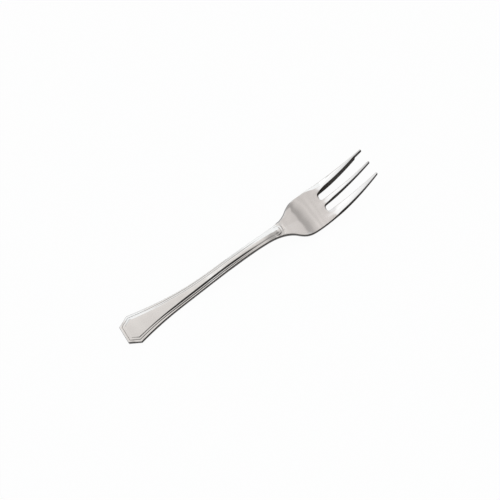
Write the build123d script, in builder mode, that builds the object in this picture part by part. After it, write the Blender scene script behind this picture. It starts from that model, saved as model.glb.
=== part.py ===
from build123d import *

import os

# Pastry fork, stamped from one blank of stainless steel.
# Millimetres, +X from the handle end to the tine tips, +Y to the fork's left, +Z up.
# The origin is on the table, under the middle of the fork's length.
# A station is a distance from the handle end.

# Length of the fork, and lengths back from the tine tips that place the forms of its head
overall_length = 150.0
corner_length = 5.85
head_length = 49.5
neck_length = 28.5
bowl_length = 36.0
tine_length = 30.2

# Widths
end_flat_width = 9.9
end_width = 16.7
shank_width = 5.6
shoulder_width = 14.2
bowl_width = 22.1
tip_width = 1.2
tip_spread = 15.7
slot_width = 4.0
slot_spacing = 7.5

# Leads of the outline, which say how far it keeps its direction at a station
end_lead = 18.0
end_lead_drop = 4.1
handle_lead = 34.0
neck_lead = 16.0
shoulder_slope = 0.95
shoulder_back_lead = 4.7
shoulder_lead = 4.6
bowl_back_lead = 6.5
bowl_lead = 10.0
tip_back_lead = 12.3
tip_back_flare = 1.95

# Side view
rest_length = 28.0
sweep_length = 41.0
crest_length = 25.0
arch_rise = 3.9
tip_rise = 12.6
sweep_power = 1.75
rest_skim = 0.04

# Thickness of the metal on the centre line
end_thickness = 2.1
shank_thickness = 2.7
bowl_thickness = 2.0
tip_thickness = 1.2

# Curvature across the fork
crown_radius = 90.0
dish_radius = 110.0

# Threaded border of the handle
thread_count = 2
thread_width = 1.05
groove_width = 0.4
groove_depth = 0.3
cap_setback = 5.0
cap_step = 1.4
cap_radius = 4.2

# Cutting edge of the left tine
bevel_width = 1.1
bevel_depth = 1.4
bevel_run_in = 5.0
bevel_margin = 0.1
notch_length = 5.6
notch_depth = 0.55

# Rounded corners and broken edges
slot_radius = 1.9
tip_radius = 0.5
upper_edge_break = 0.25
under_edge_break = 0.35

# Overhang of the bent strip beside the blank, and sections that the lofts pass through
strip_margin = 2.21
strip_sections = 30
bevel_sections = 10
inset_spans = 12

# Worked out from the sizes above
ground = Plane(origin=(-overall_length / 2, 0, 0))
strip_half_width = max(bowl_width, end_width) / 2 + strip_margin
clear_height = arch_rise + tip_rise + bowl_width
shoulder_station = overall_length - head_length
shank_station = shoulder_station - neck_length
cap_station = shoulder_station - cap_setback
bowl_station = overall_length - bowl_length
belly_station = overall_length - sweep_length
crest_station = belly_station - crest_length
slot_station = overall_length - tine_length
notch_station = overall_length - notch_length
bevel_station = slot_station + slot_radius


def across(x):
    """The plane square to the fork at a station."""
    return Plane.YZ.offset(x - overall_length / 2)


def ease(value, start, stop):
    """Share of the way from start to stop, level at both ends."""
    share = min(max((value - start) / (stop - start), 0), 1)
    return share**3 * (6 * share**2 - 15 * share + 10)


def underside(x):
    """Height of the underside on the centre line."""
    arch = ease(x, rest_length, crest_station) - ease(x, crest_station, belly_station)
    sweep = max(x - belly_station, 0) / (overall_length - belly_station)
    return arch_rise * arch + tip_rise * sweep**sweep_power - rest_skim


def thickness(x):
    """Thickness of the metal on the centre line."""
    swell = (shank_thickness - end_thickness) * ease(x, rest_length, crest_station)
    thin = (bowl_thickness - shank_thickness) * ease(x, crest_station, belly_station)
    taper = (tip_thickness - bowl_thickness) * ease(x, belly_station, overall_length)
    return end_thickness + swell + thin + taper


def lift(x, y, crown):
    """Height gained at a distance from the centre line, on a face that is crowned or flat at the handle."""
    bowl_share = ease(x, crest_station, belly_station)
    return (bowl_share / dish_radius - (1 - bowl_share) * crown) * y**2 / 2


def upper_face(x, y):
    """Height of the upper face."""
    return underside(x) + thickness(x) + lift(x, y, 1 / crown_radius)


def across_curve(height, rise):
    """A parabola across the strip, from its height in the middle and its rise at the edges."""
    left = (-strip_half_width, height + rise)
    right = (strip_half_width, height + rise)
    return Bezier(left, (0, height - rise), right)


def under_curve(x):
    """Curve of the underside across the strip."""
    return across_curve(underside(x), lift(x, strip_half_width, 0))


def upper_curve(x, raised=0.0):
    """Curve of the upper face across the strip, or of a face raised above it."""
    return across_curve(upper_face(x, 0) + raised, lift(x, strip_half_width, 1 / crown_radius))


def groove_curve(x):
    """Curve of the groove floors across the strip."""
    return upper_curve(x, -groove_depth)


def clear_curve(x):
    """Curve across the strip, clear above the upper face."""
    return upper_curve(x, groove_depth)


def bent_layer(lower, upper):
    """A layer of the bent strip between two of the curves across it."""
    with BuildPart() as layer:
        for step in range(strip_sections + 1):
            x = overall_length * step / strip_sections
            with BuildSketch(across(x)):
                with BuildLine():
                    below = lower(x)
                    above = upper(x)
                    Line(below @ 0, above @ 0)
                    Line(below @ 1, above @ 1)
                make_face()
        loft()
    return layer.part


def handle_edge():
    """Left edge of the handle, from the middle of its end to the shoulder of the bowl."""
    end = Polyline((0, 0), (0, end_flat_width / 2), (corner_length, end_width / 2))
    shank = Vector(shank_station, shank_width / 2)
    shoulder = Vector(shoulder_station, shoulder_width / 2)
    flare_start = (end @ 1) + Vector(end_lead, -end_lead_drop)
    flare_stop = shank - Vector(handle_lead, 0)
    Bezier(end @ 1, flare_start, flare_stop, shank)
    neck_stop = shoulder - Vector(1, shoulder_slope) * shoulder_back_lead
    return Bezier(shank, shank + Vector(neck_lead, 0), neck_stop, shoulder)


def bowl_edge(shoulder):
    """Left edge of the bowl and the outer tine, from the shoulder to the tip."""
    bowl = Vector(bowl_station, bowl_width / 2)
    tip = Vector(overall_length, tip_spread / 2 + tip_width / 2)
    round_start = shoulder + Vector(1, shoulder_slope) * shoulder_lead
    Bezier(shoulder, round_start, bowl - Vector(bowl_back_lead, 0), bowl)
    return Bezier(bowl, bowl + Vector(bowl_lead, 0), tip + Vector(-tip_back_lead, tip_back_flare), tip)


def slot_wall(x):
    """Distance of the outer tine's inner wall from the centre line."""
    root = slot_spacing / 2 + slot_width / 2
    tip = tip_spread / 2 - tip_width / 2
    return root + (tip - root) * (x - slot_station) / tine_length


def inset_edges(inset):
    """Edges of the handle's outline, inset and redrawn as lines and splines."""
    with BuildLine(mode=Mode.PRIVATE) as outline:
        neck = handle_edge()
        Line(neck @ 1, (shoulder_station, 0))
        mirror(about=Plane.XZ)
    for edge in outline.wire().offset_2d(-inset, kind=Kind.INTERSECTION).edges():
        if edge.geom_type == GeomType.LINE:
            Line(edge @ 0, edge @ 1)
        else:
            points = [edge @ (step / inset_spans) for step in range(inset_spans + 1)]
            Spline(points, tangents=(edge % 0, edge % 1))


def handle_plug(inset, cap):
    """A tall plug over the handle, inset from its edge and rounded off at a cap station."""
    with BuildPart() as plug:
        with BuildSketch(ground):
            with BuildLine():
                inset_edges(inset)
            make_face()
        extrude(amount=clear_height)
        with BuildSketch(ground):
            with Locations((cap - cap_radius, 0)):
                Circle(cap_radius)
                Rectangle(cap, end_width, align=(Align.MAX, Align.CENTER))
        extrude(amount=clear_height, mode=Mode.INTERSECT)
    return plug.part


def rim(faces):
    """Edges that only one of the faces has."""
    edges = ShapeList(edge for face in faces for edge in face.edges())
    return edges.filter_by(lambda edge: sum(edge.is_same(other) for other in edges) == 1)


# Grooves between the threads of the border, at one depth below the arched face
with BuildPart() as grooves:
    for step in range(thread_count):
        inset = thread_width * (step + 1)
        cap = cap_station - cap_step * step
        add(handle_plug(inset - groove_width / 2, cap + groove_width / 2))
        add(handle_plug(inset + groove_width / 2, cap - groove_width / 2), mode=Mode.SUBTRACT)
    add(bent_layer(groove_curve, clear_curve), mode=Mode.INTERSECT)

# Wedge that the cutting bevel takes off the inner edge of the left tine
with BuildPart() as bevel:
    for step in range(bevel_sections + 1):
        x = bevel_station + (notch_station - bevel_station) * step / bevel_sections
        share = (1 + bevel_margin) * ease(x, bevel_station, bevel_station + bevel_run_in) - bevel_margin
        wall = slot_wall(x)
        slope = Vector(bevel_width, bevel_depth)
        ridge = Vector(wall, upper_face(x, wall)) + Vector(bevel_width * share, 0) + slope / 2
        foot = ridge - slope * (1 + share)
        with BuildSketch(across(x)):
            with BuildLine():
                Polyline(ridge, foot, (foot.X, ridge.Y), close=True)
            make_face()
    loft()

# The fork
with BuildPart() as fork:
    add(bent_layer(under_curve, upper_curve))
    with BuildSketch(ground) as plan:
        with BuildLine():
            neck = handle_edge()
            tine = bowl_edge(neck @ 1)
            Line(tine @ 1, (overall_length, 0))
            mirror(about=Plane.XZ)
        make_face()
        for side in (1, -1):
            with BuildLine():
                Polyline(
                    (slot_station, side * (slot_spacing - slot_width) / 2),
                    (slot_station, side * slot_wall(slot_station)),
                    (overall_length, side * slot_wall(overall_length)),
                    (overall_length, side * tip_width / 2),
                    close=True,
                )
            make_face(mode=Mode.SUBTRACT)
        with BuildLine():
            Polyline(
                (notch_station, slot_wall(notch_station) - notch_depth),
                (notch_station, slot_wall(notch_station) + notch_depth),
                (overall_length, slot_wall(overall_length)),
                close=True,
            )
        make_face(mode=Mode.SUBTRACT)
        roots = plan.vertices().filter_by_position(Axis.X, slot_station, slot_station)
        fillet(roots, radius=slot_radius)
        fillet(plan.vertices().group_by(Axis.X)[-1], radius=tip_radius)
    extrude(amount=clear_height, mode=Mode.INTERSECT)
    under = fork.faces().filter_by(GeomType.BSPLINE).sort_by(SortBy.AREA)[-2]
    soles = fork.faces().filter_by(Plane.XY)
    chamfer(rim([under, *soles]), length=under_edge_break)
    upper = fork.faces().filter_by(GeomType.BSPLINE).sort_by(SortBy.AREA)[-1]
    chamfer(rim([upper]), length=upper_edge_break)
    add(bevel.part, mode=Mode.SUBTRACT)
    add(grooves.part, mode=Mode.SUBTRACT)

fork.part.label = "fork"
os.makedirs("parts", exist_ok=True)
export_step(fork.part, "parts/fork.step")
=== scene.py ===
import math

import bmesh
import bpy
import numpy as np
from mathutils import Matrix, Vector
from mathutils.geometry import delaunay_2d_cdt


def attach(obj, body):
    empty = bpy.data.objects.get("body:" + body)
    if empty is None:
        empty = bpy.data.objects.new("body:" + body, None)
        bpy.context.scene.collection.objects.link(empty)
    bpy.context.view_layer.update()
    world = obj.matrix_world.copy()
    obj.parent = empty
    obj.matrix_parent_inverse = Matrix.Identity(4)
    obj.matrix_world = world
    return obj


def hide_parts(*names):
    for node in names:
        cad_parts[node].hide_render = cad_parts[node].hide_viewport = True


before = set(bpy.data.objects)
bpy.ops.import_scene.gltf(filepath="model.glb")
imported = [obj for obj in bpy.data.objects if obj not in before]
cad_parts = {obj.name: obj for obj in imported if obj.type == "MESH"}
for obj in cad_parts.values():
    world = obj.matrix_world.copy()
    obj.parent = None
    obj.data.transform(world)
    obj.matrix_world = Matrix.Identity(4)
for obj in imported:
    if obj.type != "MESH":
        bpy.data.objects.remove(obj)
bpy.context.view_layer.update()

# Sizes of the fork in millimetres. A station is a distance from the handle end.
MM = 0.001
OVERALL = 150.0
CORNER_LENGTH = 5.85
SHANK = 72.0
SHOULDER = 100.5
BOWL = 114.0
SLOT = 119.8
NOTCH = 145.3
END_FLAT_WIDTH = 9.9
END_WIDTH = 16.7
SHANK_WIDTH = 5.6
SHOULDER_WIDTH = 14.2
BOWL_WIDTH = 22.1
TIP_WIDTH = 1.2
TIP_SPREAD = 15.4
SLOT_WIDTH = 3.7
SLOT_SPACING = 7.2
SLOT_BOW = 0.2
NOTCH_DEPTH = 0.55
TIP_ROUND = 0.6
ROOT_ROUND = 1.4
ROOT_POWER = 2.6

# Counts of points along the stretches of the outline
END_STEPS = 14
CORNER_STEPS = 18
HANDLE_STEPS = 180
NECK_STEPS = 84
BOWL_STEPS = 44
TINE_STEPS = 110
TINE_LOOKUP_STEPS = 2000
WALL_STEPS = 76
TIP_STEPS = 16
ROOT_STEPS = 26

# Leads of the outline's curves
END_LEAD = (18.0, -4.1)
HANDLE_LEAD = (34.0, 0.0)
NECK_LEAD = (16.0, 0.0)
SHOULDER_SLOPE = 0.95
SHOULDER_BACK_LEAD = 4.7
SHOULDER_LEAD = 4.6
BOWL_BACK_LEAD = (6.5, 0.0)
BOWL_LEAD = (10.0, 0.0)
TIP_BACK_LEAD = (-12.3, 1.6)

# Side view, thickness and curvature across
REST_LENGTH = 28.0
CREST = 84.0
BELLY = 109.0
ARCH_RISE = 3.9
TIP_RISE = 12.6
SWEEP_POWER = 1.75
REST_SKIM = 0.04
TIP_LIFT = 0.8
TIP_LIFT_START = 124.0
END_THICK = 2.1
SHANK_THICK = 2.7
BOWL_THICK = 2.0
TIP_THICK = 1.2
CROWN_RADIUS = 90.0
DISH_RADIUS = 110.0


def ease(value, start, stop):
    """Share of the way from start to stop, level at both ends."""
    share = np.clip((value - start) / (stop - start), 0, 1)
    return share**3 * (6 * share**2 - 15 * share + 10)


def underside(x):
    """Height of the underside on the centre line."""
    arch = ease(x, REST_LENGTH, CREST) - ease(x, CREST, BELLY)
    sweep = np.maximum(x - BELLY, 0) / (OVERALL - BELLY)
    tip = TIP_LIFT * (np.maximum(x - TIP_LIFT_START, 0) / (OVERALL - TIP_LIFT_START)) ** 2
    return ARCH_RISE * arch + TIP_RISE * sweep**SWEEP_POWER + tip - REST_SKIM


def thickness(x):
    """Thickness of the metal on the centre line."""
    swell = (SHANK_THICK - END_THICK) * ease(x, REST_LENGTH, CREST)
    thin = (BOWL_THICK - SHANK_THICK) * ease(x, CREST, BELLY)
    taper = (TIP_THICK - BOWL_THICK) * ease(x, BELLY, OVERALL)
    return END_THICK + swell + thin + taper


def lift(x, y, crown):
    """Height gained away from the centre line, on a face that is crowned or flat at the handle."""
    bowl_share = ease(x, CREST, BELLY)
    return (bowl_share / DISH_RADIUS - (1 - bowl_share) * crown) * y**2 / 2


def bezier(points, steps):
    """Points of a cubic curve, without its last."""
    t = np.linspace(0, 1, steps, endpoint=False)[:, None]
    a, b, c, d = (np.array(p, float) for p in points)
    return (1 - t) ** 3 * a + 3 * (1 - t) ** 2 * t * b + 3 * (1 - t) * t**2 * c + t**3 * d


def straight(start, stop, steps):
    """Points of a line, without its last."""
    t = np.linspace(0, 1, steps, endpoint=False)[:, None]
    return np.array(start, float) * (1 - t) + np.array(stop, float) * t


def ellipse_arc(centre, along, across, start, stop, steps, power=2.0):
    """Points of an ellipse's arc between two angles in degrees, without its last.

    A higher power makes the arc squarer.
    """
    angle = np.radians(np.linspace(start, stop, steps, endpoint=False))
    cosine = np.sign(np.cos(angle)) * np.abs(np.cos(angle)) ** (2 / power)
    sine = np.sign(np.sin(angle)) * np.abs(np.sin(angle)) ** (2 / power)
    return np.stack((centre[0] + along * cosine, centre[1] + across * sine), 1)


# Corners of the outline's left half
FLAT_AT = np.array((0.0, END_FLAT_WIDTH / 2))
CORNER_AT = np.array((CORNER_LENGTH, END_WIDTH / 2))
SHANK_AT = np.array((SHANK, SHANK_WIDTH / 2))
SHOULDER_AT = np.array((SHOULDER, SHOULDER_WIDTH / 2))
BOWL_AT = np.array((BOWL, BOWL_WIDTH / 2))
TIP_AT = np.array((OVERALL, TIP_SPREAD / 2 + TIP_WIDTH / 2))
FLARE = np.array((1.0, SHOULDER_SLOPE))


def handle_curve(steps):
    """Left edge from the corner of the handle end to the shank."""
    return bezier((CORNER_AT, CORNER_AT + END_LEAD, SHANK_AT - HANDLE_LEAD, SHANK_AT), steps)


def neck_curve(steps):
    """Left edge from the shank to the shoulder."""
    arrive = SHOULDER_AT - FLARE * SHOULDER_BACK_LEAD
    return bezier((SHANK_AT, SHANK_AT + NECK_LEAD, arrive, SHOULDER_AT), steps)


def bowl_curve(steps):
    """Left edge from the shoulder to the widest place of the bowl."""
    leave = SHOULDER_AT + FLARE * SHOULDER_LEAD
    return bezier((SHOULDER_AT, leave, BOWL_AT - BOWL_BACK_LEAD, BOWL_AT), steps)


def tine_curve(steps):
    """Left edge from the widest place of the bowl to the tip."""
    return bezier((BOWL_AT, BOWL_AT + BOWL_LEAD, TIP_AT + TIP_BACK_LEAD, TIP_AT), steps)


def slot_wall(x):
    """Distance of an outer tine's inner wall from the centre line."""
    root = SLOT_SPACING / 2 + SLOT_WIDTH / 2
    tip = TIP_SPREAD / 2 - TIP_WIDTH / 2
    share = (x - SLOT) / (OVERALL - SLOT)
    return root + (tip - root) * share - 4 * SLOT_BOW * share * (1 - share)


def middle_wall(x):
    """Half width of the middle tine."""
    root = (SLOT_SPACING - SLOT_WIDTH) / 2
    return root + (TIP_WIDTH / 2 - root) * (x - SLOT) / (OVERALL - SLOT)


TIP_X = OVERALL - TIP_ROUND
ROOT_X = SLOT + ROOT_ROUND
ROOT_MID = (slot_wall(ROOT_X) + middle_wall(ROOT_X)) / 2
ROOT_HALF = (slot_wall(ROOT_X) - middle_wall(ROOT_X)) / 2


def left_outline():
    """Left half of the outline from the handle end to the middle tip, and the stretch of each point."""
    tine = tine_curve(TINE_STEPS)
    tine = tine[tine[:, 0] < TIP_X]
    outer = np.interp(TIP_X, *tine_curve(TINE_LOOKUP_STEPS).T)
    inner = slot_wall(TIP_X)
    tip_mid = (outer + inner) / 2
    tip_half = (outer - inner) / 2
    wall_down = np.linspace(TIP_X, ROOT_X, WALL_STEPS, endpoint=False)
    wall_up = np.linspace(ROOT_X, TIP_X, WALL_STEPS, endpoint=False)
    stretches = [
        ("end", straight((0, 0), FLAT_AT, END_STEPS)),
        ("end", straight(FLAT_AT, CORNER_AT, CORNER_STEPS)),
        ("handle", handle_curve(HANDLE_STEPS)),
        ("handle", neck_curve(NECK_STEPS)),
        ("bowl", bowl_curve(BOWL_STEPS)),
        ("tine", tine),
        ("tip", ellipse_arc((TIP_X, tip_mid), TIP_ROUND, tip_half, 90, -90, TIP_STEPS)),
        ("inner", np.stack((wall_down, slot_wall(wall_down)), 1)),
        ("root", ellipse_arc((ROOT_X, ROOT_MID), -ROOT_ROUND, ROOT_HALF, 90, -90, ROOT_STEPS, ROOT_POWER)),
        ("middle", np.stack((wall_up, middle_wall(wall_up)), 1)),
        ("tip", ellipse_arc((TIP_X, 0), TIP_ROUND, middle_wall(TIP_X), 90, 0, TIP_STEPS // 2)),
    ]
    points = np.concatenate([p for _, p in stretches])
    names = np.concatenate([[n] * len(p) for n, p in stretches])
    return points, names


left_points, left_names = left_outline()
outline = np.concatenate((left_points, [[OVERALL, 0.0]], left_points[:0:-1] * (1, -1)))
stretch = np.concatenate((left_names, ["tip"], left_names[:0:-1]))
ahead = np.roll(outline, -1, 0) - outline
ahead /= np.linalg.norm(ahead, axis=1)[:, None]
behind = np.roll(ahead, 1, 0)
ahead_out = np.stack((-ahead[:, 1], ahead[:, 0]), 1)
behind_out = np.stack((-behind[:, 1], behind[:, 0]), 1)
outward = (ahead_out + behind_out) / (1 + np.sum(ahead_out * behind_out, 1))[:, None]

# Rounding of the upper edge along the fork: how far it runs in from the outline, and how far it drops
EDGE_STATIONS = (0.0, 20.0, 42.0, 60.0, 90.0, 100.0, 119.0, 126.0, 134.0, 150.0)
EDGE_RUN = (0.42, 0.42, 0.32, 0.26, 0.26, 0.30, 0.45, 1.12, 0.98, 0.38)
EDGE_DROP = (0.42, 0.42, 0.38, 0.36, 0.34, 0.30, 0.45, 0.95, 0.85, 0.50)
EDGE_SUPPORT = 0.07

# Smaller rounding of the tines' edges that face left
FACING_LEFT = (-0.2, 0.2)
LEFT_EDGE_STATIONS = (119.0, 126.0, 150.0)
LEFT_EDGE = (0.45, 0.50, 0.36)

# Rolled outer edge of the left tine, which is a flat facet at the tine's root
ROLL_IN = (111.0, 114.0)
ROLL_STATIONS = (114.0, 116.0, 117.6, 119.6, 121.5, 124.0, 131.0, 150.0)
ROLL_RUN = (0.50, 0.60, 1.10, 1.90, 2.30, 2.60, 1.10, 0.36)
ROLL_DROP = (0.30, 0.20, 0.28, 0.44, 0.52, 0.56, 0.48, 0.36)
FACET_IN = (114.0, 117.0)
FACET_OUT = (126.0, 134.0)

# Soft edge of the left shoulder, with its share of painted shade, which stands in for a dark reflection along
# that edge
SOFT_IN = (91.5, 95.5)
SOFT_OUT = (105.0, 111.0)
SOFT_RUN = 0.8
SOFT_DROP = 0.30
SOFT_PAINTED_SHADE = 0.35

# Edges on the left, on the side the light comes from, get little of the painted shade: where the bowl's left
# edge comes to it, and the share of painted shade left off
SHADE_SPARED_IN = (106.0, 112.0)
SPARED_SHADE_SHARE = 0.8

# Rounding of the lower edge along the fork, given as for the upper edge
BELOW_STATIONS = (0.0, 68.0, 80.0, 95.0, 108.0, 121.0, 127.0, 150.0)
BELOW_RUN = (0.12, 0.15, 0.50, 0.60, 0.60, 0.50, 0.20, 0.15)
BELOW_DROP = (0.12, 0.15, 0.70, 0.95, 0.85, 0.65, 0.20, 0.15)
BELOW_CLEAR = 0.1

# Cutting bevel on the inner edge of the left tine, from the slot's root to the tip, and the notch in it
BEVEL_STATIONS = (SLOT, 126.0, NOTCH, OVERALL)
BEVEL_RUN = (1.45, 1.52, 1.20, 0.42)
BEVEL_DROP = (1.35, 1.35, 1.00, 0.50)
BEVEL_START = SLOT - 0.5
BEVEL_FULL = SLOT + 5.5
NOTCH_SOFT = 0.25

x_out, y_out = outline.T
on_left = y_out > 0
inner_wall = on_left & (stretch == "inner")
root_wall = on_left & (stretch == "root") & (y_out > ROOT_MID)
past_notch = ease(x_out, NOTCH - NOTCH_SOFT, NOTCH + NOTCH_SOFT)
root_share = np.where(root_wall, ease(y_out, ROOT_MID, ROOT_MID + ROOT_HALF), inner_wall)
bevel_grown = np.clip((x_out - BEVEL_START) / (BEVEL_FULL - BEVEL_START), 0, 1)
bevel = root_share * bevel_grown
run = np.interp(x_out, EDGE_STATIONS, EDGE_RUN)
drop = np.interp(x_out, EDGE_STATIONS, EDGE_DROP)
left_edge = np.interp(x_out, LEFT_EDGE_STATIONS, LEFT_EDGE)
faces_left = ease(outward[:, 1], *FACING_LEFT) * (x_out > LEFT_EDGE_STATIONS[0])
run += (left_edge - run) * faces_left
drop += (left_edge - drop) * faces_left
outer_left = on_left & np.isin(stretch, ("bowl", "tine"))
soft_left = on_left * ease(x_out, *SOFT_IN) * (1 - ease(x_out, *SOFT_OUT))
# Where edges on the left get little painted shade
shade_spared_left = np.maximum.reduce((faces_left, outer_left * ease(x_out, *SHADE_SPARED_IN), soft_left))
roll = outer_left * ease(x_out, *ROLL_IN)
run += (np.interp(x_out, ROLL_STATIONS, ROLL_RUN) - run) * roll
drop += (np.interp(x_out, ROLL_STATIONS, ROLL_DROP) - drop) * roll
roll_facet = roll * ease(x_out, *FACET_IN) * (1 - ease(x_out, *FACET_OUT))
facet = np.maximum(bevel, roll_facet)
run += (SOFT_RUN - run) * soft_left
drop += (SOFT_DROP - drop) * soft_left
run += (np.interp(x_out, BEVEL_STATIONS, BEVEL_RUN) - run) * bevel
drop += (np.interp(x_out, BEVEL_STATIONS, BEVEL_DROP) - drop) * bevel
notch_fade = np.clip((OVERALL - x_out) / (OVERALL - NOTCH), 0, 1)
notch = NOTCH_DEPTH * past_notch * notch_fade * inner_wall
inner_top = outline - outward * run[:, None]
outer_loop = outline - outward * notch[:, None]
support = outline - outward * (run + EDGE_SUPPORT)[:, None]
below_run = np.interp(x_out, BELOW_STATIONS, BELOW_RUN)
below_drop = np.interp(x_out, BELOW_STATIONS, BELOW_DROP)
inner_below = outline - outward * np.maximum(below_run, notch + BELOW_CLEAR)[:, None]

# Threaded border of the handle: insets of its two grooves, and the step between its threads
BORDER_STATIONS = (8.0, 20.0, 30.0, 50.0, 70.0, 84.0, 93.0)
GROOVE_1 = (1.30, 1.15, 0.76, 0.60, 0.46, 0.48, 0.75)
GROOVE_2 = (2.40, 1.97, 1.57, 1.36, 1.18, 1.22, 1.65)
GROOVE_SUPPORT = 0.06
FLANK_STATIONS = (1.5, 3.0, 18.0, 36.0, 62.0, 76.0, 86.0, 91.5, 94.5)
FLANK_RISE = (0.0, 0.08, 0.10, 0.21, 0.19, 0.07, 0.05, 0.05, 0.26)
THREAD_FLANK = 0.48
THREAD_LOOPS = 7

# Outward lean of the threads' tops, and shares of the inner thread's top at which a line runs along it
LEAN_STATIONS = (1.5, 5.0, 13.0, 22.0, 60.0, 74.0, 92.0)
LEAN_SLOPE = (0.0, 0.09, 0.09, 0.05, 0.05, 0.12, 0.07)
LEAN_LOOPS = (0.5, 1.0)

# Panel inside the border: its sloped edge, shares of the slope at which a line runs along it, rise and crown
PANEL_FLANK_STATIONS = (8.0, 20.0, 34.0, 52.0)
PANEL_FLANK = (0.50, 0.66, 0.85, 0.95)
PANEL_FLANK_POWER = 1.3
PANEL_FLANK_LIMIT = 0.75
PANEL_LOOPS = (0.10, 0.25, 0.42, 0.60, 0.75, 0.88, 0.98, 1.06)
LEAST_PANEL_HALF = 0.5
PANEL_RISE_STATIONS = (2.5, 3.2, 6.0, 12.0, 20.0, 32.0, 62.0, 71.0, 81.0, 91.0, 93.5)
PANEL_RISE = (0.0, 0.04, 0.12, 0.13, 0.21, 0.40, 0.44, 0.30, 0.12, 0.06, 0.26)
PANEL_CROWN_STATIONS = (64.0, 84.0)
PANEL_CROWN = (0.06, 0.20)
PANEL_CROWN_POWER = (2.0, 1.3)
SUNK_SHARE = 0.64

# Painted shade in the outer groove and on the panel's corners: dark lines that stand in for shade and dark
# reflections in those hollows
GROOVE_DARK_STATIONS = (24.0, 60.0, 76.0)
GROOVE_DARK = (0.42, 0.36, 0.24)
GROOVE_DARK_WIDTH = 0.2
CORNER_DARK = 0.33
CORNER_DARK_SHARE = 0.8
CORNER_DARK_FADE = (6.8, 8.8)
CORNER_CLEAR = 0.01

# Rounded caps of the border on the neck, the step of the outermost one, and the swell of the neck before it
CAP = 96.7
CAP_RATE = 0.714
CAP_RUN = 3.2
CAP_POWER = 2.8
CAP_STEPS = 15
NECK_FADE = (86.0, 96.0)
OUTER_CAP = 96.75
OUTER_CAP_BEND = 0.028
OUTER_CAP_HALF = 0.45
OUTER_STEP = 0.08
NECK_SWELL = 0.006
NECK_SWELL_START = 87.0
FOOT_FADE = (97.2, 99.8)

# Left edge of the handle that the border follows, and counts of points along the border
HANDLE_SIDE_STEPS = 700
NECK_SIDE_STEPS = 320
SIDE_STRIDE = 3
END_LOOP_STEPS = 13
CORNER_LOOP_STEPS = 17
side = np.concatenate((handle_curve(HANDLE_SIDE_STEPS), neck_curve(NECK_SIDE_STEPS)))
side_way = np.gradient(side, axis=0)
side_way /= np.linalg.norm(side_way, axis=1)[:, None]
side_in = np.stack((side_way[:, 1], -side_way[:, 0]), 1)
corner_way = (CORNER_AT - FLAT_AT) / np.linalg.norm(CORNER_AT - FLAT_AT)
corner_in = np.array((corner_way[1], -corner_way[0]))


def groove(insets, x):
    """Distance of a groove from the edge at a station."""
    return np.interp(x, BORDER_STATIONS, insets)


def neck_share(x):
    """Share by which the border stands out of the neck."""
    return np.clip((x - NECK_FADE[0]) / (NECK_FADE[1] - NECK_FADE[0]), 0, 1) ** 2


def panel_half(x):
    """Distance from the inner groove to the centre line."""
    return np.maximum(np.interp(x, side[:, 0], side[:, 1]) - groove(GROOVE_2, x), LEAST_PANEL_HALF)


def panel_flank(x):
    """Width of the slope at the panel's edge."""
    return np.minimum(np.interp(x, PANEL_FLANK_STATIONS, PANEL_FLANK), PANEL_FLANK_LIMIT * panel_half(x))


def panel_rise(x, inside):
    """Height of the panel above its groove, at a distance inside its edge."""
    half = panel_half(x)
    flank = panel_flank(x)
    crown = np.interp(x, PANEL_CROWN_STATIONS, PANEL_CROWN)
    power = np.interp(x, PANEL_CROWN_STATIONS, PANEL_CROWN_POWER)
    step = np.interp(x, PANEL_RISE_STATIONS, PANEL_RISE)
    step = step * (1 - (1 - np.clip(inside / flank, 0, 1)) ** PANEL_FLANK_POWER)
    return step + crown * (1 - (1 - np.clip(inside / half, 0, 1)) ** power)


def flank_rise(x):
    """Height of the step between the threads."""
    return np.interp(x, FLANK_STATIONS, FLANK_RISE)


def lean_slope(x):
    """Slope of the threads' tops, which lean outward."""
    return np.interp(x, LEAN_STATIONS, LEAN_SLOPE)


def thread_step(x):
    """Height of the inner groove above the outer one."""
    return flank_rise(x) + lean_slope(x) * (groove(GROOVE_2, x) - groove(GROOVE_1, x) - THREAD_FLANK)


def thread_rise(x, inside):
    """Height of the inner thread, at a distance inside the outer groove."""
    share = np.clip(inside / THREAD_FLANK, 0, 1)
    return flank_rise(x) * share**2 * (3 - 2 * share) + lean_slope(x) * np.maximum(inside - THREAD_FLANK, 0)


def edge_rise(x, inside):
    """Height of the outer thread's leaning top, at a distance inside the edge of the blank."""
    return -lean_slope(x) * np.maximum(groove(GROOVE_1, x) - inside, 0) * (1 - neck_share(x))


def border_top(x):
    """Height of the panel's middle above the edge of the blank."""
    return thread_step(x) + panel_rise(x, panel_half(x))


# Soft unevenness of the upper face, which bends its reflections
DRIFT_START = -1.5
DRIFT_SLOPE = 0.06
DRIFT_BEND = 0.016
LOBE = 0.45
LOBE_PITCH = 9.0
END_RISE = 0.003
END_RISE_START = 7.5
DRIFT_SHARE_IN = (90.0, 101.0)
DRIFT_SHARE_OUT = (107.0, 124.0)
FLUTE_HEIGHT = 0.21
FLUTE_PITCH = 8.0
FLUTE_OFFSET = 0.2
FLUTE_STATIONS = (116.5, 123.5)

# Crown of the shank, and raised rim of the bowl's shoulders
SHANK_CROWN = 0.045
SHANK_RIDGE = -1.2
SHANK_CROWN_IN = (58.0, 76.0)
SHANK_CROWN_OUT = (92.0, 98.0)
RIM_STATIONS = (97.0, 104.0)
RIM_LEFT = (0.10, 0.16)
RIM_RIGHT = 0.05
RIM_NEAR = 0.8
RIM_FAR = (2.2, 3.6)
RIM_IN = (91.0, 96.0)
RIM_OUT = (103.0, 109.0)

# Count of points whose distance is worked out at a time
BATCH = 1000


def distance_to(points, polygon):
    """Distance of points from a closed line."""
    way = np.roll(polygon, -1, 0) - polygon
    nearest = [np.zeros(0)]
    for low in range(0, len(points), BATCH):
        offset = points[low:low + BATCH, None] - polygon
        share = np.clip(np.sum(offset * way, 2) / np.sum(way * way, 1), 0, 1)
        nearest.append(np.min(np.linalg.norm(offset - way * share[..., None], axis=2), 1))
    return np.concatenate(nearest)


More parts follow.
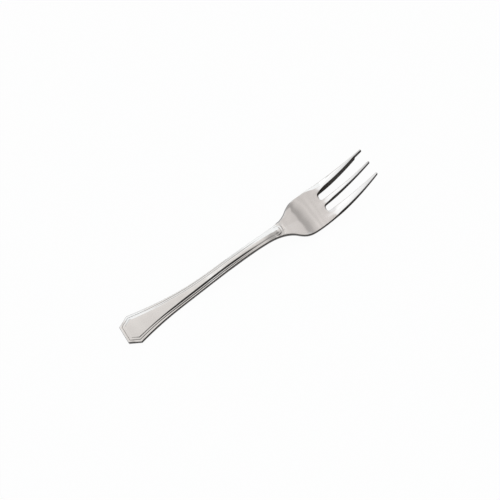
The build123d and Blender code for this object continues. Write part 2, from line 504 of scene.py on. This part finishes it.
def rim_rise(x, y):
    """Height of the bowl's raised rim."""
    share = ease(x, *RIM_IN) * (1 - ease(x, *RIM_OUT))
    near = share > 0
    far = np.interp(x[near], RIM_STATIONS, RIM_FAR)
    share[near] *= 1 - ease(distance_to(np.stack((x, y), 1)[near], outline), RIM_NEAR, far)
    return np.where(y > 0, np.interp(x, RIM_STATIONS, RIM_LEFT), RIM_RIGHT) * share


def outer_cap(y):
    """Station of the border's outermost step, which crosses the neck."""
    return OUTER_CAP - OUTER_CAP_BEND * np.abs(y) ** 3


def plain_top(x, y):
    """Height of the upper face without its border."""
    cap = outer_cap(y)
    past_cap = ease(x, cap - OUTER_CAP_HALF, cap + OUTER_CAP_HALF)
    step = OUTER_STEP * past_cap * (1 - ease(x, *FOOT_FADE))
    swell = NECK_SWELL * np.maximum(x - NECK_SWELL_START, 0) ** 2 * (1 - past_cap)
    drift = DRIFT_START + DRIFT_SLOPE * y + DRIFT_BEND * np.maximum(y, 0) ** 2
    drift -= LOBE * np.abs(np.sin(math.pi * y / LOBE_PITCH))
    along = x + drift * ease(x, *DRIFT_SHARE_IN) * (1 - ease(x, *DRIFT_SHARE_OUT))
    flute_wave = 1 - np.cos(math.tau * (y - FLUTE_OFFSET) / FLUTE_PITCH)
    flute = FLUTE_HEIGHT * ease(x, *FLUTE_STATIONS) * flute_wave
    crown_share = ease(x, *SHANK_CROWN_IN) * (1 - ease(x, *SHANK_CROWN_OUT))
    crown = SHANK_CROWN * crown_share * (y - 2 * SHANK_RIDGE) * y / 2
    face = underside(along) + thickness(along) + lift(x, y, 1 / CROWN_RADIUS) + rim_rise(x, y) + swell
    face += END_RISE * np.maximum(END_RISE_START - x, 0) ** 2
    return face - border_top(x) * SUNK_SHARE * (1 - neck_share(x)) - step - flute - crown


def border_loop(inset, cap):
    """A closed line round the handle, inset from its edge, mitred at the corners and rounded at a cap."""
    depth = float(inset(0.0))
    line = side + side_in * inset(side[:, 0])[:, None]
    beyond = (line - CORNER_AT) @ corner_in - depth
    first = int(np.argmax(beyond >= 0))
    share = beyond[first] / (beyond[first] - beyond[first - 1])
    side_mitre = line[first] + (line[first - 1] - line[first]) * share
    flat_side = (depth - corner_in[0] * (depth - CORNER_LENGTH)) / corner_in[1]
    flat_mitre = np.array((depth, CORNER_AT[1] + flat_side))
    kept = line[first + 1:]
    kept = kept[kept[:, 0] < cap - CAP_RUN][::SIDE_STRIDE]
    start = kept[-1]
    turn = np.linspace(math.pi / 2, 0, CAP_STEPS)[1:-1]
    arc_x = start[0] + (cap - start[0]) * np.cos(turn) ** (2 / CAP_POWER)
    arc_y = start[1] * np.sin(turn) ** (2 / CAP_POWER)
    left = np.concatenate((
        straight((depth, 0), flat_mitre, END_LOOP_STEPS),
        straight(flat_mitre, side_mitre, CORNER_LOOP_STEPS),
        [side_mitre],
        kept,
        np.stack((arc_x, arc_y), 1),
        [(cap, 0)],
    ))
    return np.concatenate((left, left[-2:0:-1] * (1, -1)))


loops = []
loop_rises = []
loop_painted_shades = []


def add_loop(inset, rise, dark=0.0, corner_dark=0.0):
    """Add a line of the border, its height above the plain face and its share of painted shade."""
    loop = border_loop(inset, CAP - float(inset(CAP)) / CAP_RATE)
    loops.append(loop)
    loop_rises.append(rise(loop[:, 0]))
    # Painted shade along the outer groove, and on the panel's corners near the handle end
    groove_painted_shade = dark * np.interp(loop[:, 0], GROOVE_DARK_STATIONS, GROOVE_DARK)
    past_end = loop[:, 0] > float(inset(0.0)) + CORNER_CLEAR
    loop_painted_shades.append(groove_painted_shade + corner_dark * past_end * (1 - ease(loop[:, 0], *CORNER_DARK_FADE)))


def add_thread_loop(inside):
    """Add a line of the inner thread, at a distance inside the outer groove."""
    # The first lines of the thread's flank carry painted shade
    dark = float(inside < GROOVE_DARK_WIDTH)
    add_loop(lambda x: groove(GROOVE_1, x) + inside, lambda x: thread_rise(x, inside), dark)


def add_lean_loop(share):
    """Add a line of the inner thread's top, at a share of the way from its flank to the inner groove."""
    def inside(x):
        pitch = groove(GROOVE_2, x) - groove(GROOVE_1, x)
        return THREAD_FLANK + (pitch - THREAD_FLANK) * share

    add_loop(lambda x: groove(GROOVE_1, x) + inside(x), lambda x: thread_rise(x, inside(x)))


def add_panel_loop(share):
    """Add a line of the panel's flank, at a share of its width."""
    def inside(x):
        return share * panel_flank(x)

    # Painted shade on the panel's corners at the handle end
    corner_dark = CORNER_DARK * (share < CORNER_DARK_SHARE)
    add_loop(
        lambda x: groove(GROOVE_2, x) + inside(x),
        lambda x: thread_step(x) + panel_rise(x, inside(x)),
        corner_dark=corner_dark,
    )


def outer_inset(x):
    """Distance of the outer thread's last line from the edge."""
    return groove(GROOVE_1, x) - GROOVE_SUPPORT


add_loop(outer_inset, lambda x: edge_rise(x, outer_inset(x)))
for inside in np.linspace(0, THREAD_FLANK, THREAD_LOOPS):
    add_thread_loop(inside)
for share in LEAN_LOOPS:
    add_lean_loop(share)
panel_edge = loops[-1]
for share in PANEL_LOOPS:
    add_panel_loop(share)
panel_inner = loops[-1]


def inside_polygon(points, polygon):
    """Which points lie inside a closed line."""
    x, y = points[:, :1], points[:, 1:]
    ax, ay = polygon.T
    bx, by = np.roll(polygon, -1, 0).T
    level = (ay > y) != (by > y)
    crossing = ax + (y - ay) * (bx - ax) / np.where(by == ay, 1, by - ay)
    return np.sum(level & (x < crossing), 1) % 2 == 1


def field(spacing, polygon, margin, first=0.0, last=OVERALL):
    """Evenly spread points between two stations inside a closed line, clear of it by a margin."""
    rows = np.arange(first, last, spacing * math.sqrt(3) / 2)
    across = np.arange(-BOWL_WIDTH, BOWL_WIDTH, spacing)
    shifts = across + np.where(np.arange(len(rows)) % 2, spacing / 2, 0)[:, None]
    points = np.stack((np.repeat(rows, len(across)), shifts.ravel()), 1)
    points = points[np.abs(points[:, 1]) < BOWL_WIDTH / 2]
    points = points[inside_polygon(points, polygon)]
    return points[distance_to(points, polygon) > margin]


# Closeness at which the triangulation joins points, and twice the area of the least triangle it keeps
JOIN = 1e-7
LEAST_CROSS = 5e-5


def triangulate(closed, extra):
    """Triangles inside the first closed line that keep to all of the lines, and each point's origin."""
    points = [Vector(p) for loop in closed for p in loop]
    edges = []
    for loop in closed:
        start = len(edges)
        edges += [(start + i, start + (i + 1) % len(loop)) for i in range(len(loop))]
    points += [Vector(p) for p in extra]
    found, _, triangles, origins, _, _ = delaunay_2d_cdt(points, edges, [], 0, JOIN, True)
    flat = np.array([p[:] for p in found])
    corners = np.array(triangles)
    first = flat[corners[:, 1]] - flat[corners[:, 0]]
    second = flat[corners[:, 2]] - flat[corners[:, 0]]
    corners = corners[np.abs(first[:, 0] * second[:, 1] - first[:, 1] * second[:, 0]) > LEAST_CROSS]
    corners = corners[inside_polygon(flat[corners].mean(1), closed[0])]
    return flat, corners, [o[0] for o in origins]


# Upper face: evenly spread points, closer at the shoulders, and rows of points along the outermost cap
FIELD_SPACING = 0.75
SHOULDER_SPACING = 0.4
FIELD_MARGIN = 0.3
CAP_ROW_HALF = 4.5
CAP_ROW_STEPS = 61
CAP_ROWS = 9
CAP_MARGIN = 0.12
spread = np.concatenate((
    field(FIELD_SPACING, support, FIELD_MARGIN, 0, RIM_IN[0]),
    field(SHOULDER_SPACING, support, FIELD_MARGIN, RIM_IN[0], RIM_OUT[1]),
    field(FIELD_SPACING, support, FIELD_MARGIN, RIM_OUT[1], OVERALL),
))
spread = spread[~inside_polygon(spread, loops[0]) | inside_polygon(spread, panel_inner)]
for loop in (loops[0], panel_inner):
    spread = spread[distance_to(spread, loop) > FIELD_MARGIN]
from_cap = spread[:, 0] - outer_cap(spread[:, 1])
spread = spread[np.abs(from_cap) > OUTER_CAP_HALF + FIELD_MARGIN]
cap_row = np.linspace(-CAP_ROW_HALF, CAP_ROW_HALF, CAP_ROW_STEPS)
cap_y, cap_shift = np.meshgrid(cap_row, np.linspace(-OUTER_CAP_HALF, OUTER_CAP_HALF, CAP_ROWS))
cap_points = np.stack((outer_cap(cap_y) + cap_shift, cap_y), 2).reshape(-1, 2)
cap_points = cap_points[inside_polygon(cap_points, support) & ~inside_polygon(cap_points, loops[0])]
for loop in (support, loops[0]):
    cap_points = cap_points[distance_to(cap_points, loop) > CAP_MARGIN]
spread = np.concatenate((spread, cap_points))
panel_height = thread_step(spread[:, 0]) + panel_rise(spread[:, 0], distance_to(spread, panel_edge))
spread_rise = np.where(inside_polygon(spread, panel_inner), panel_height, 0)
edge_lean = edge_rise(x_out, run)
support_lean = edge_rise(x_out, run + EDGE_SUPPORT)
flat, top_faces, origin = triangulate([inner_top, support, *loops], spread)
top_rise = np.concatenate((edge_lean, support_lean, *loop_rises, spread_rise))[origin]
top_points = np.column_stack((flat, plain_top(*flat.T) + top_rise))
# Painted shade of the upper face: none at the edge lines and the spread points, each border loop's own share
# on the border
edge_painted_shade = np.zeros(len(inner_top) + len(support))
top_painted_shade = np.concatenate((edge_painted_shade, *loop_painted_shades, np.zeros(len(spread))))[origin]

# Underside
BELOW_SPACING = 1.1


def under_face(points):
    """Height of the underside, which rests on the table."""
    x, y = points.T
    return np.maximum(underside(x) + lift(x, y, 0), 0)


below_flat, below_faces, _ = triangulate([inner_below], field(BELOW_SPACING, inner_below, FIELD_MARGIN))
below_points = np.column_stack((below_flat, under_face(below_flat)))

# Rounded edges and walls, as rings along the outline, each with its share of painted shade: dark colour on
# the walls that stands in for the dark reflections they would show
UPPER_RINGS = 9
LOWER_RINGS = 6
LEAST_WALL = 0.05
LOWER_PAINTED_SHADE = 0.85
edge_top = plain_top(*inner_top.T) + edge_lean
edge_below = under_face(inner_below)
wall_top = edge_top - drop
wall_foot = np.minimum(edge_below + below_drop, wall_top - LEAST_WALL)
rings = []
painted_shade_rings = []
for turn in np.linspace(0, 1, UPPER_RINGS):
    angle = turn * math.pi / 2
    across = (1 - math.sin(angle)) * (1 - facet) + (1 - turn) * facet
    down = (1 - math.cos(angle)) * (1 - facet) + turn * facet
    plan = outer_loop + (inner_top - outer_loop) * across[:, None]
    rings.append(np.column_stack((plan, edge_top - drop * down)))
    # Painted shade on the cutting bevel and on the left shoulder's soft edge, in place of dark reflections
    bevel_painted_shade = np.maximum(bevel, SOFT_PAINTED_SHADE * soft_left) * min(1, turn * UPPER_RINGS)
    painted_shade_rings.append(np.maximum(turn * (1 - SPARED_SHADE_SHARE * shade_spared_left), bevel_painted_shade))
# The wall ring gets the full painted shade
rings.append(np.column_stack((outer_loop, (wall_top + wall_foot) / 2)))
painted_shade_rings.append(np.ones(len(outline)))
# The lower rounding gets painted shade as well, fading towards the underside
for turn in np.linspace(0, 1, LOWER_RINGS):
    angle = turn * math.pi / 2
    plan = inner_below + (outer_loop - inner_below) * math.cos(angle)
    rings.append(np.column_stack((plan, edge_below + (wall_foot - edge_below) * (1 - math.sin(angle)))))
    painted_shade_rings.append(np.full(len(outline), LOWER_PAINTED_SHADE * (1 - turn**2)))

# One closed mesh, with the share of painted shade (walls, grooves and corners) and of wear at each point
WORN_STATIONS = (95.0, 100.0)
WORN_SHARE = 0.88
WELD = 2e-6
count = len(outline)
points = np.concatenate((top_points, *rings, below_points))
faces = top_faces.tolist()
for ring in range(len(rings) - 1):
    low = len(top_points) + ring * count
    for i in range(count):
        j = (i + 1) % count
        faces.append((low + i, low + j, low + count + j, low + count + i))
faces += (below_faces + len(top_points) + len(rings) * count).tolist()
# Painted shade of every point, kept in the attribute wall
wall = np.concatenate((top_painted_shade, *painted_shade_rings, np.zeros(len(below_points))))
edge_worn = np.tile(1 - roll_facet, len(rings))
worn = np.concatenate((np.ones(len(top_points)), edge_worn, np.ones(len(below_points))))
worn *= WORN_SHARE * ease(points[:, 0], *WORN_STATIONS)

mesh = bpy.data.meshes.new("fork_polished")
mesh.from_pydata(((points - (OVERALL / 2, 0, 0)) * MM).tolist(), [], faces)
# The wall attribute holds the painted shade, and worn holds the wear
mesh.attributes.new("wall", "FLOAT", "POINT").data.foreach_set("value", wall.astype(np.float32))
mesh.attributes.new("worn", "FLOAT", "POINT").data.foreach_set("value", worn.astype(np.float32))
body = bmesh.new()
body.from_mesh(mesh)
bmesh.ops.remove_doubles(body, verts=body.verts, dist=WELD)
bmesh.ops.recalc_face_normals(body, faces=body.faces)
body.to_mesh(mesh)
body.free()
mesh.shade_smooth()
fork = bpy.data.objects.new("fork_polished", mesh)
bpy.context.scene.collection.objects.link(fork)


def feed(tree, socket, value):
    """Give an input a value, or a link from an output."""
    if isinstance(value, bpy.types.NodeSocket):
        tree.links.new(value, socket)
    else:
        socket.default_value = value


def add_node(tree, kind, **inputs):
    """Add a node, with values or links for its inputs by name."""
    node = tree.nodes.new(kind)
    for name, value in inputs.items():
        feed(tree, node.inputs[name.replace("_", " ")], value)
    return node


def stretched_noise(tree, scale, stretch, detail):
    """Noise over the object's own coordinates, stretched along each axis."""
    place = add_node(tree, "ShaderNodeTexCoord")
    mapping = add_node(tree, "ShaderNodeMapping", Vector=place.outputs["Object"], Scale=stretch)
    noise = add_node(tree, "ShaderNodeTexNoise", Vector=mapping.outputs["Vector"], Scale=scale, Detail=detail)
    return noise.outputs["Fac"]


def remap(tree, value, start, stop, low, high):
    """A value spread from one range over another."""
    ranges = {"From_Min": start, "From_Max": stop, "To_Min": low, "To_Max": high}
    return add_node(tree, "ShaderNodeMapRange", Value=value, **ranges).outputs["Result"]


def mix_colours(tree, factor, first, second, blend="MIX"):
    """A blend of two colours."""
    node = tree.nodes.new("ShaderNodeMix")
    node.data_type = "RGBA"
    node.blend_type = blend
    for name, value in zip(("Factor_Float", "A_Color", "B_Color"), (factor, first, second)):
        feed(tree, next(s for s in node.inputs if s.identifier == name), value)
    return next(s for s in node.outputs if s.identifier == "Result_Color")


def math_node(tree, operation, first, second=0.0):
    """A sum worked out by a node."""
    node = tree.nodes.new("ShaderNodeMath")
    node.operation = operation
    for socket, value in zip(node.inputs, (first, second)):
        feed(tree, socket, value)
    return node.outputs[0]


# Polished steel, with smudges, fine scratches along the fork and a faint ripple.
# The bowl and tines are duller from use, and the walls, the groove lines and the panel's corners carry
# painted shade, dark colour that stands in for dark reflections.
STEEL = (0.78, 0.745, 0.715, 1)
STEEL_WORN = (0.665, 0.625, 0.60, 1)
# Colour of the painted shade, dark steel that stands in for dark reflections on the walls, grooves and
# corners
PAINTED_SHADE_COLOUR = (0.035, 0.031, 0.028, 1)

# Scale of each noise, its stretch along the axes, and its detail
SMUDGE = (160, (1, 1, 1), 4)
SCRATCH = (900, (0.06, 1, 1), 3)
WAVE = (130, (1, 0.35, 1), 1)

# Roughness and wear over ranges of the smudges, and colour over a range of the painted shade
SMUDGE_ROUGHNESS = (0.3, 0.7, 0.07, 0.15)
SMUDGE_WEAR = (0.35, 0.65, 0, 0.2)
PAINTED_SHADE_RANGE = (0.24, 0.42, 0, 1)

# Strength and height of the ripple and the scratches
RIPPLE_STRENGTH = 0.5
RIPPLE_HEIGHT = 0.00015
SCRATCH_STRENGTH = 0.15
SCRATCH_HEIGHT = 0.00001

steel = bpy.data.materials.new("polished_steel")
steel.use_nodes = True
tree = steel.node_tree
shader = tree.nodes["Principled BSDF"]
shader.inputs["Metallic"].default_value = 1.0
smudge = stretched_noise(tree, *SMUDGE)
scratch = stretched_noise(tree, *SCRATCH)
wave = stretched_noise(tree, *WAVE)
tree.links.new(remap(tree, smudge, *SMUDGE_ROUGHNESS), shader.inputs["Roughness"])
# Painted shade from the wall attribute darkens the base colour
painted_shade_node = tree.nodes.new("ShaderNodeAttribute")
painted_shade_node.attribute_name = "wall"
worn_node = tree.nodes.new("ShaderNodeAttribute")
worn_node.attribute_name = "worn"
worn_share = math_node(tree, "ADD", worn_node.outputs["Fac"], remap(tree, smudge, *SMUDGE_WEAR))
face_colour = mix_colours(tree, worn_share, STEEL, STEEL_WORN)
painted_shade_share = remap(tree, painted_shade_node.outputs["Fac"], *PAINTED_SHADE_RANGE)
tree.links.new(mix_colours(tree, painted_shade_share, face_colour, PAINTED_SHADE_COLOUR), shader.inputs["Base Color"])
ripple = add_node(tree, "ShaderNodeBump", Strength=RIPPLE_STRENGTH, Distance=RIPPLE_HEIGHT, Height=wave)
fine = add_node(tree, "ShaderNodeBump", Strength=SCRATCH_STRENGTH, Distance=SCRATCH_HEIGHT, Height=scratch)
tree.links.new(ripple.outputs["Normal"], fine.inputs["Normal"])
tree.links.new(fine.outputs["Normal"], shader.inputs["Normal"])
mesh.materials.append(steel)
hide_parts("fork")
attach(fork, "root")

# Floor: white to the camera and in reflections, with a share of real shading that keeps the shadow
FLOOR_HALF = 3.0
FLOOR_DROP = 0.00002
PAPER = (0.95, 0.95, 0.95, 1)
PAPER_ROUGHNESS = 0.9
WHITE_SHARE = 0.96
floor_mesh = bpy.data.meshes.new("floor")
floor_corners = [(FLOOR_HALF * x, FLOOR_HALF * y, 0) for x, y in ((-1, -1), (1, -1), (1, 1), (-1, 1))]
floor_mesh.from_pydata(floor_corners, [], [(0, 1, 2, 3)])
floor = bpy.data.objects.new("floor", floor_mesh)
floor.location.z = -FLOOR_DROP
bpy.context.scene.collection.objects.link(floor)
paper = bpy.data.materials.new("paper")
paper.use_nodes = True
tree = paper.node_tree
card = tree.nodes["Principled BSDF"]
card.inputs["Base Color"].default_value = PAPER
card.inputs["Roughness"].default_value = PAPER_ROUGHNESS
glow = tree.nodes.new("ShaderNodeEmission")
path = tree.nodes.new("ShaderNodeLightPath")
seen = math_node(tree, "ADD", path.outputs["Is Camera Ray"], path.outputs["Is Glossy Ray"])
seen = math_node(tree, "ADD", seen, path.outputs["Is Transmission Ray"])
blend = tree.nodes.new("ShaderNodeMixShader")
tree.links.new(math_node(tree, "MULTIPLY", seen, WHITE_SHARE), blend.inputs["Fac"])
tree.links.new(card.outputs["BSDF"], blend.inputs[1])
tree.links.new(glow.outputs["Emission"], blend.inputs[2])
tree.links.new(blend.outputs["Shader"], tree.nodes["Material Output"].inputs["Surface"])
floor_mesh.materials.append(paper)

# Studio light by direction, as stops of a place and the level there.
# ACROSS and WINDOW go by the angle across the fork in degrees, from its right over the top to its left.
# ALONG and END_LIGHT go by how far the direction points along the fork, from its handle end to its tips.
# The light is dark low on the right, a long window stands on the left, and a light stands beyond the tips.
# The window and the light from the handle's end are cool.
ACROSS = ((0, 0.6), (42, 0.6), (48, 0.08), (51, 0.022), (68, 0.03), (76, 0.12), (84, 0.33), (91, 0.58),
          (97, 0.66), (106, 0.675), (115, 0.69), (126, 0.74), (150, 0.75), (158, 0.48), (180, 0.45))
WINDOW = ((0, 0), (124, 0), (133, 0.62), (159, 0.62), (167, 0), (180, 0))
ALONG = ((-1, 0.35), (-0.785, 0.55), (-0.7, 0.75), (-0.6, 0.94), (-0.45, 1.08), (-0.31, 1.08),
         (-0.28, 0.69), (-0.235, 0.67), (-0.2, 0.62), (-0.165, 0.69), (-0.14, 0.69), (-0.1, 0.61),
         (-0.07, 0.62), (-0.03, 0.70), (0.015, 0.66), (0.05, 0.59), (0.085, 0.53), (0.15, 0.44),
         (0.2, 0.40), (0.28, 0.39), (0.32, 0.52), (0.35, 0.62), (0.6, 0.64), (0.65, 0.5), (0.74, 0.5),
         (0.84, 0.78), (1, 0.78))
END_LIGHT = ((-1, 0), (0.74, 0), (0.82, 0.64), (0.9, 0.64), (0.95, 0.5), (1, 0.5))
COOL_BELOW = -0.28
COOL = (0.945, 1.0, 1.04)
SKY_STRENGTH = 2.0
studio = bpy.data.worlds.new("studio")
studio.use_nodes = True
tree = studio.node_tree


def ramp(value, stops, cool_below=-math.inf):
    """A grey that follows a value through stops, and is cool at stops below a limit."""
    low, high = stops[0][0], stops[-1][0]
    node = add_node(tree, "ShaderNodeValToRGB", Fac=remap(tree, value, low, high, 0, 1))
    node.color_ramp.interpolation = "EASE"
    elements = node.color_ramp.elements
    while len(elements) < len(stops):
        elements.new(0.5)
    for element, (position, level) in zip(elements, stops):
        element.position = (position - low) / (high - low)
        tint = COOL if position < cool_below else (1, 1, 1)
        element.color = (level * tint[0], level * tint[1], level * tint[2], 1)
    return node.outputs["Color"]


direction = add_node(tree, "ShaderNodeTexCoord").outputs["Generated"]
split = add_node(tree, "ShaderNodeSeparateXYZ", Vector=direction)
rightward = math_node(tree, "MULTIPLY", split.outputs["Y"], -1)
angle = math_node(tree, "DEGREES", math_node(tree, "ARCTAN2", split.outputs["Z"], rightward))
along = ramp(split.outputs["X"], ALONG, COOL_BELOW)
light = mix_colours(tree, 1, ramp(angle, ACROSS), along, "MULTIPLY")
light = mix_colours(tree, 1, light, ramp(angle, WINDOW, math.inf), "LIGHTEN")
light = mix_colours(tree, 1, light, ramp(split.outputs["X"], END_LIGHT), "LIGHTEN")
sky = tree.nodes["Background"]
sky.inputs["Strength"].default_value = SKY_STRENGTH
tree.links.new(light, sky.inputs["Color"])
bpy.context.scene.world = studio

# Camera: its height over the fork, turn about it and roll, and the fork's place in the picture in pixels
ELEVATION = math.radians(65.1)
TURN = math.radians(0.63)
ROLL = math.radians(32.8)
DISTANCE = 1.0
FOCAL_PX = 1987.6
FRAME_PX = 500
CENTRE_PX = (-0.6, 4.4)
reach = math.cos(ELEVATION)
back = Vector((-reach * math.sin(TURN), -reach * math.cos(TURN), math.sin(ELEVATION)))
right = Vector((math.cos(TURN), -math.sin(TURN), 0))
up = back.cross(right)
image_right = right * math.cos(ROLL) - up * math.sin(ROLL)
image_up = right * math.sin(ROLL) + up * math.cos(ROLL)
pixel = DISTANCE / FOCAL_PX
lens = bpy.data.cameras.new("camera")
lens.lens = FOCAL_PX / FRAME_PX * lens.sensor_width
camera = bpy.data.objects.new("camera", lens)
camera.matrix_world = Matrix((image_right, image_up, back)).transposed().to_4x4()
camera.location = back * DISTANCE + (image_up * CENTRE_PX[1] - image_right * CENTRE_PX[0]) * pixel
bpy.context.scene.collection.objects.link(camera)
bpy.context.scene.camera = camera
bpy.context.scene.view_settings.view_transform = "Standard"
